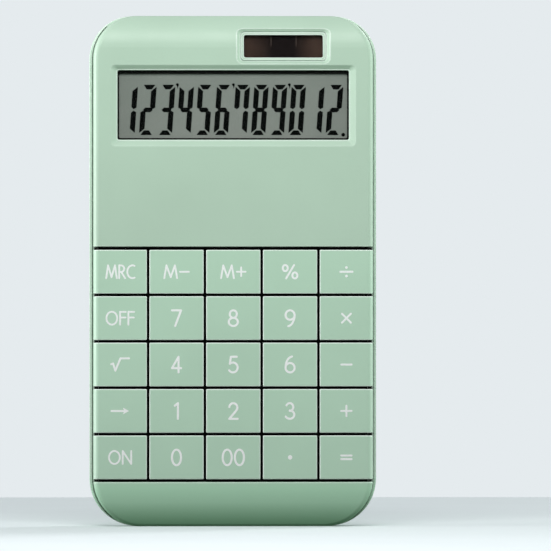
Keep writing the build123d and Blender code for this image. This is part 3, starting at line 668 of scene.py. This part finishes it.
# ---------------------------------------------------------------- display digits
def segment_outlines():
    """The seven segments a to g of one digit, as outlines about its middle."""
    half_w, half_h = DIGIT_WIDTH / 2, DIGIT_HEIGHT / 2
    inner = half_w - SEGMENT
    upper_right = [(half_w - 0.08, half_h - 0.7), (inner, half_h - BAR - 0.55), (inner, 0.9),
                   (half_w - 0.55 * SEGMENT, SEGMENT_GAP), (half_w, 0.72), (half_w, half_h - 0.85)]
    top = [(-half_w + 0.5, half_h - 0.1), (-half_w + 0.65, half_h), (half_w - 0.65, half_h),
           (half_w - 0.5, half_h - 0.1), (half_w - 1.45, half_h - BAR), (-half_w + 1.45, half_h - BAR)]
    middle = [(-half_w + 0.72, 0), (-half_w + 1.4, BAR / 2), (half_w - 1.4, BAR / 2),
              (half_w - 0.72, 0), (half_w - 1.4, -BAR / 2), (-half_w + 1.4, -BAR / 2)]

    def flipped(outline, sx, sz):
        return [(x * sx, z * sz) for x, z in outline]
    return {
        "a": top, "b": upper_right, "c": flipped(upper_right, 1, -1), "d": flipped(top, 1, -1),
        "e": flipped(upper_right, -1, -1), "f": flipped(upper_right, -1, 1), "g": middle,
    }


def slanted(outline, x, z):
    """The outline leaned to the right and moved to (x, z)."""
    return [(x + px + pz * math.tan(DIGIT_SLANT), z + pz) for px, pz in outline]


def display():
    """Every dark shape on the display, as one bmesh."""
    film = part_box("lcd_front_polarizer")[0].y / MM
    low_y, high_y = film - SEGMENT_DEPTH, film + SEGMENT_DEPTH
    shapes = []
    outlines = segment_outlines()
    for index, figure in enumerate(DISPLAY_TEXT):
        x = DIGIT_LEFT + index * DIGIT_PITCH
        for name in LIT[figure]:
            shapes.append(slanted(outlines[name], x, DIGIT_Z))
        if index in THOUSANDS_AFTER:
            shapes.append(slanted(THOUSANDS_MARK, x + DIGIT_PITCH / 2 - 0.1, DIGIT_Z))
    point_x = DIGIT_LEFT + len(DISPLAY_TEXT) * DIGIT_PITCH - DIGIT_PITCH / 2 - 0.2
    shapes.append(ellipse(point_x, DIGIT_Z - DIGIT_HEIGHT / 2 + 0.1, POINT_RADIUS, POINT_RADIUS))
    return joined([prism(shape, low_y, high_y) for shape in shapes])


piece("display_digits", display(), CRYSTAL, "case")


def solar_dividers():
    """The fine lines between the cell's strips, lying on its tilted front."""
    low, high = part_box("solar_cell")
    front = min(NODES["solar_cell"].data.polygons, key=lambda face: (face.normal.y, -face.area))
    lean = Vector((0, -1, 0)).rotation_difference(front.normal).to_matrix()
    lines = []
    for x in SOLAR_LINES:
        middle = Vector((x * MM, front.center.y, front.center.z))
        bm = bmesh.new()
        bmesh.ops.create_cube(bm, size=1.0)
        size = (SOLAR_LINE_WIDTH, 2 * SOLAR_LINE_PROUD, (high.z - low.z) / MM - SOLAR_LINE_SHORT)
        bmesh.ops.scale(bm, verts=bm.verts, vec=size)
        bmesh.ops.rotate(bm, verts=bm.verts, cent=(0, 0, 0), matrix=lean)
        bmesh.ops.translate(bm, verts=bm.verts, vec=middle / MM)
        lines.append(bm)
    return joined(lines)


piece("solar_dividers", solar_dividers(), CELL_LINE, "case")


# ---------------------------------------------------------------- soft pieces under the keys
def cell(key_node, around):
    """The part of a soft CAD node's box that lies under one key, as (x, z) limits in mm."""
    low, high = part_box(key_node)
    least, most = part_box(around)
    limits = []
    for axis in (0, 2):
        # Up to the soft node's own end beside the outer keys, else to the middle of the gap.
        at_start = low[axis] - least[axis] < 2 * KEY_GAP * MM
        at_end = most[axis] - high[axis] < 2 * KEY_GAP * MM
        limits.append(least[axis] / MM if at_start else low[axis] / MM - KEY_GAP / 2)
        limits.append(most[axis] / MM if at_end else high[axis] / MM + KEY_GAP / 2)
    return limits


def lofted(loops, poles):
    """A closed solid through loops of points in turn; the poles close it at both ends."""
    bm = bmesh.new()
    rings = [[bm.verts.new(point) for point in loop] for loop in loops]
    start, end = (bm.verts.new(point) for point in poles)
    count = len(rings[0])
    for i in range(count):
        j = (i + 1) % count
        bm.faces.new((start, rings[0][i], rings[0][j]))
        bm.faces.new((end, rings[-1][j], rings[-1][i]))
        for near, far in zip(rings, rings[1:]):
            bm.faces.new((near[i], far[i], far[j], near[j]))
    bmesh.ops.recalc_face_normals(bm, faces=bm.faces)
    return bm


def dome(key_node):
    """One key's square of the rubber sheet with its hollow dome."""
    x0, x1, z0, z1 = cell(key_node, "rubber_keypad")
    low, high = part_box(key_node)
    x, z = (low.x + high.x) / 2 / MM, (low.z + high.z) / 2 / MM
    top, bottom = (v.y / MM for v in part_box("rubber_keypad"))
    corners = [math.atan2(cz - z, cx - x) for cx in (x0, x1) for cz in (z0, z1)]
    angles = sorted(corners + [math.radians(a) for a in range(-180, 180, ROUND_STEP)])

    def circle(radius, y):
        return [(x + radius * math.cos(a), y, z + radius * math.sin(a)) for a in angles]

    def square(y):
        points = []
        for a in angles:
            across, along = max(abs(math.cos(a)), 1e-6), max(abs(math.sin(a)), 1e-6)
            half_x = x1 - x if math.cos(a) > 0 else x - x0
            half_z = z1 - z if math.sin(a) > 0 else z - z0
            # The cut corners leave room for the guide frame's posts.
            reach = min(half_x / across, half_z / along, (half_x + half_z - CORNER_CUT) / (across + along))
            points.append((x + reach * math.cos(a), y, z + reach * math.sin(a)))
        return points

    sheet_top = bottom - SHEET_THICK
    inwards, down = DOME_ROUND
    loops = [circle(DOME_TOP - inwards, top), circle(DOME_TOP, top + down), circle(DOME_FOOT, sheet_top),
             square(sheet_top), square(bottom), circle(HOLLOW_FOOT, bottom),
             circle(HOLLOW_TOP, top + DOME_SKIN)]
    return lofted(loops, [(x, top, z), (x, top + DOME_SKIN, z)])


def gap_shade_pad(key_node):
    """One key's length of the black strip at its side, with soft edges; a dark piece that stands in for
    shade in the gap.
    """
    low, high = (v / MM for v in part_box("ledge_strips"))
    x0, x1, z0, z1 = cell(key_node, "ledge_strips")
    outer = x1 if x1 > -x0 else x0
    inner = outer - math.copysign(STRIP_WIDTH, outer)
    bm = bmesh.new()
    bmesh.ops.create_cube(bm, size=1.0)
    bmesh.ops.scale(bm, verts=bm.verts, vec=(STRIP_WIDTH, high.y - low.y, z1 - z0))
    bmesh.ops.translate(bm, verts=bm.verts, vec=((outer + inner) / 2, (low.y + high.y) / 2, (z0 + z1) / 2))
    bmesh.ops.bevel(bm, geom=bm.edges[:], offset=STRIP_EDGE, segments=2, affect="EDGES")
    return bm


def squashed(ob, node):
    """The piece stands for a soft CAD node, which is hidden, and gets a mesh of its own."""
    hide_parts(node)
    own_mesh(ob)


for key_name in LEGENDS:
    label = key_name[4:]
    rubber_dome = piece("dome_" + label, dome(key_name), FINISHES["keypad_rubber"], "case")
    squashed(rubber_dome, "rubber_keypad")
    low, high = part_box(key_name)
    if max(-low.x, high.x) >= COVER_HALF - 0.1 * MM:
        # A black strip that darkens the gap beside an outer key, standing in for shade.
        pad = piece("foam_" + label, gap_shade_pad(key_name), FINISHES["black_foam"], "case")
        squashed(pad, "ledge_strips")


# ---------------------------------------------------------------- floor, light and camera
def shelf():
    """The pale shelf that the case stands on: a slab with rounded edges."""
    bm = bmesh.new()
    bmesh.ops.create_cube(bm, size=1.0)
    bmesh.ops.scale(bm, verts=bm.verts, vec=SHELF_SIZE)
    bmesh.ops.translate(bm, verts=bm.verts, vec=(0, SHELF_BACK - SHELF_SIZE[1] / 2, -SHELF_SIZE[2] / 2))
    bmesh.ops.bevel(bm, geom=bm.edges[:], offset=SHELF_EDGE, segments=3, affect="EDGES")
    mesh = bpy.data.meshes.new("shelf")
    bm.to_mesh(mesh)
    bm.free()
    f = Finish("shelf_paint")
    shade = f.mix(f.spread(f.noise(60, 3), 0.3, 0.7), srgb(230, 237, 239), srgb(232, 239, 241))
    mesh.materials.append(f.surface(shade, 0.6, f.bump(f.noise(1.2, 2), 0.01),
                                    Specular_IOR_Level=0.0))
    ob = bpy.data.objects.new("shelf", mesh)
    bpy.context.scene.collection.objects.link(ob)
    # The shelf throws no light up into the rolled lower end, as a shelf in shade wouldn't.
    ob.visible_diffuse = False
    ob.visible_glossy = False


def black_flag():
    """A studio's black card under the shelf's surface: it takes away light, and no camera sees it."""
    bm = bmesh.new()
    bmesh.ops.create_grid(bm, x_segments=1, y_segments=1, size=0.5)
    bmesh.ops.scale(bm, verts=bm.verts, vec=(*FLAG_SIZE, 1))
    bmesh.ops.translate(bm, verts=bm.verts, vec=(0, -FLAG_SIZE[1] * FLAG_FORWARD, -FLAG_DEPTH))
    mesh = bpy.data.meshes.new("flag")
    bm.to_mesh(mesh)
    bm.free()
    f = Finish("black_card")
    mesh.materials.append(f.surface(f.mix(f.noise(20, 2), srgb(8, 8, 8), srgb(14, 14, 14)), 0.9))
    ob = bpy.data.objects.new("flag", mesh)
    bpy.context.scene.collection.objects.link(ob)
    ob.visible_camera = False
    ob.visible_glossy = False
    ob.visible_shadow = False


def area_light(name, size, power, at, target, colour=(1, 1, 1)):
    """A softbox aimed at the target, which no camera sees."""
    light = bpy.data.lights.new(name, "AREA")
    light.shape = "RECTANGLE"
    light.size, light.size_y = size
    light.energy = power
    light.color = colour
    ob = bpy.data.objects.new(name, light)
    ob.location = at
    ob.rotation_euler = (Vector(target) - Vector(at)).to_track_quat("-Z", "Y").to_euler()
    ob.visible_camera = False
    bpy.context.scene.collection.objects.link(ob)


def sky():
    """A pale studio, greener and dimmer below and dimmer in front."""
    world = bpy.data.worlds.new("studio")
    world.use_nodes = True
    tree = world.node_tree
    background = tree.nodes["Background"]
    direction = tree.nodes.new("ShaderNodeSeparateXYZ")
    tree.links.new(tree.nodes.new("ShaderNodeTexCoord").outputs["Generated"], direction.inputs[0])

    def ramp(axis, low, high, start):
        """From start, where this part of the direction is low, to 1, where it is high."""
        spread = tree.nodes.new("ShaderNodeMapRange")
        spread.interpolation_type = "SMOOTHSTEP"
        tree.links.new(direction.outputs[axis], spread.inputs["Value"])
        spread.inputs["From Min"].default_value = low
        spread.inputs["From Max"].default_value = high
        spread.inputs["To Min"].default_value = start
        return spread.outputs[0]

    product = tree.nodes.new("ShaderNodeMath")
    product.operation = "MULTIPLY"
    tree.links.new(ramp("Z", *BELOW_Z, SKY_BELOW), product.inputs[0])
    tree.links.new(ramp("Y", *FRONT_Y, SKY_FRONT), product.inputs[1])
    strength = tree.nodes.new("ShaderNodeMath")
    strength.operation = "MULTIPLY"
    tree.links.new(product.outputs[0], strength.inputs[0])
    tree.links.new(ramp("Z", *ABOVE_Z, SKY_ABOVE), strength.inputs[1])
    tree.links.new(strength.outputs[0], background.inputs["Strength"])
    colour = tree.nodes.new("ShaderNodeMix")
    colour.data_type = "RGBA"
    tree.links.new(ramp("Z", *BELOW_Z, 0.0), colour.inputs[0])
    colour.inputs[6].default_value = srgb(172, 230, 188)
    colour.inputs[7].default_value = srgb(229, 235, 238)
    tree.links.new(colour.outputs[2], background.inputs["Color"])
    bpy.context.scene.world = world


def studio():
    """The surroundings, four softboxes and the card that shades the lower end."""
    bpy.context.scene.view_settings.view_transform = "Standard"
    sky()
    high = CAD_BOX[1][2]
    area_light("softbox_near", (0.36, 0.2), 1.5, (-0.02, -0.39, high + 0.24), (0, 0, 0.75 * high))
    area_light("softbox_left", (0.56, 0.5), 16.5, (-1.4, -0.17, 0.16), (0, 0, high / 2))
    area_light("softbox_right", (0.56, 0.5), 8.0, (1.4, -0.17, 0.16), (0, 0, high / 2), (0.9, 1.0, 0.92))
    area_light("softbox_back", (0.35, 0.35), 6.5, (0.9, 0.8, 1.0), (0, 0, 0))
    black_flag()


def camera():
    """A long lens, level, from a little to the left of straight ahead."""
    data = bpy.data.cameras.new("camera")
    data.sensor_width = SENSOR
    data.lens = SENSOR * VIEW_DISTANCE / VIEW_WIDTH
    ob = bpy.data.objects.new("camera", data)
    side = VIEW_DISTANCE * math.tan(VIEW_SIDE)
    ob.location = (-side, -VIEW_DISTANCE, VIEW_Z)
    ob.rotation_euler = Euler((math.radians(90), 0, -math.atan2(VIEW_X + side, VIEW_DISTANCE)))
    bpy.context.scene.collection.objects.link(ob)
    bpy.context.scene.camera = ob


shelf()
studio()
camera()
